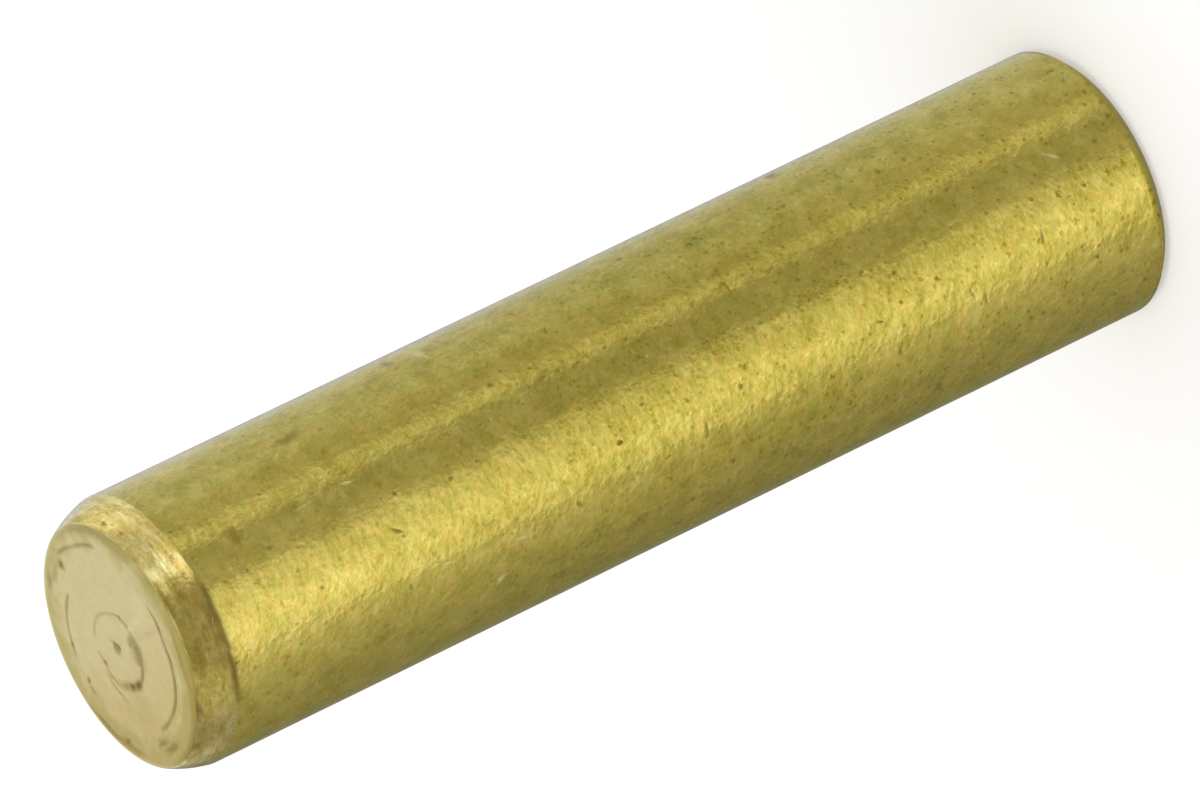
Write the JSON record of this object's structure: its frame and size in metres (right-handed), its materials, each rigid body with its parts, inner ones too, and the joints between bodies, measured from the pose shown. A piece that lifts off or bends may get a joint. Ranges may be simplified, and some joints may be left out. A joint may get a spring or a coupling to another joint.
{
  "type": "shear pin",
  "caption": "Plain round brass pin with a long lead chamfer on its faced end, made to shear first and protect a drive when it jams.",
  "frame": {"origin": "centre of the plain end's face, which the pin stands on", "axes": "+Z along the pin's axis, from the plain end towards the faced end with the lead chamfer; the pin is turned, so X and Y are free"},
  "size_m": [0.006, 0.006, 0.025],
  "materials": {
    "brass": "drawn brass bar, satin and finely pitted, with turned ends"
  },
  "bodies": {
    "root": {"shear_pin": "brass"}
  },
  "joints": []
}
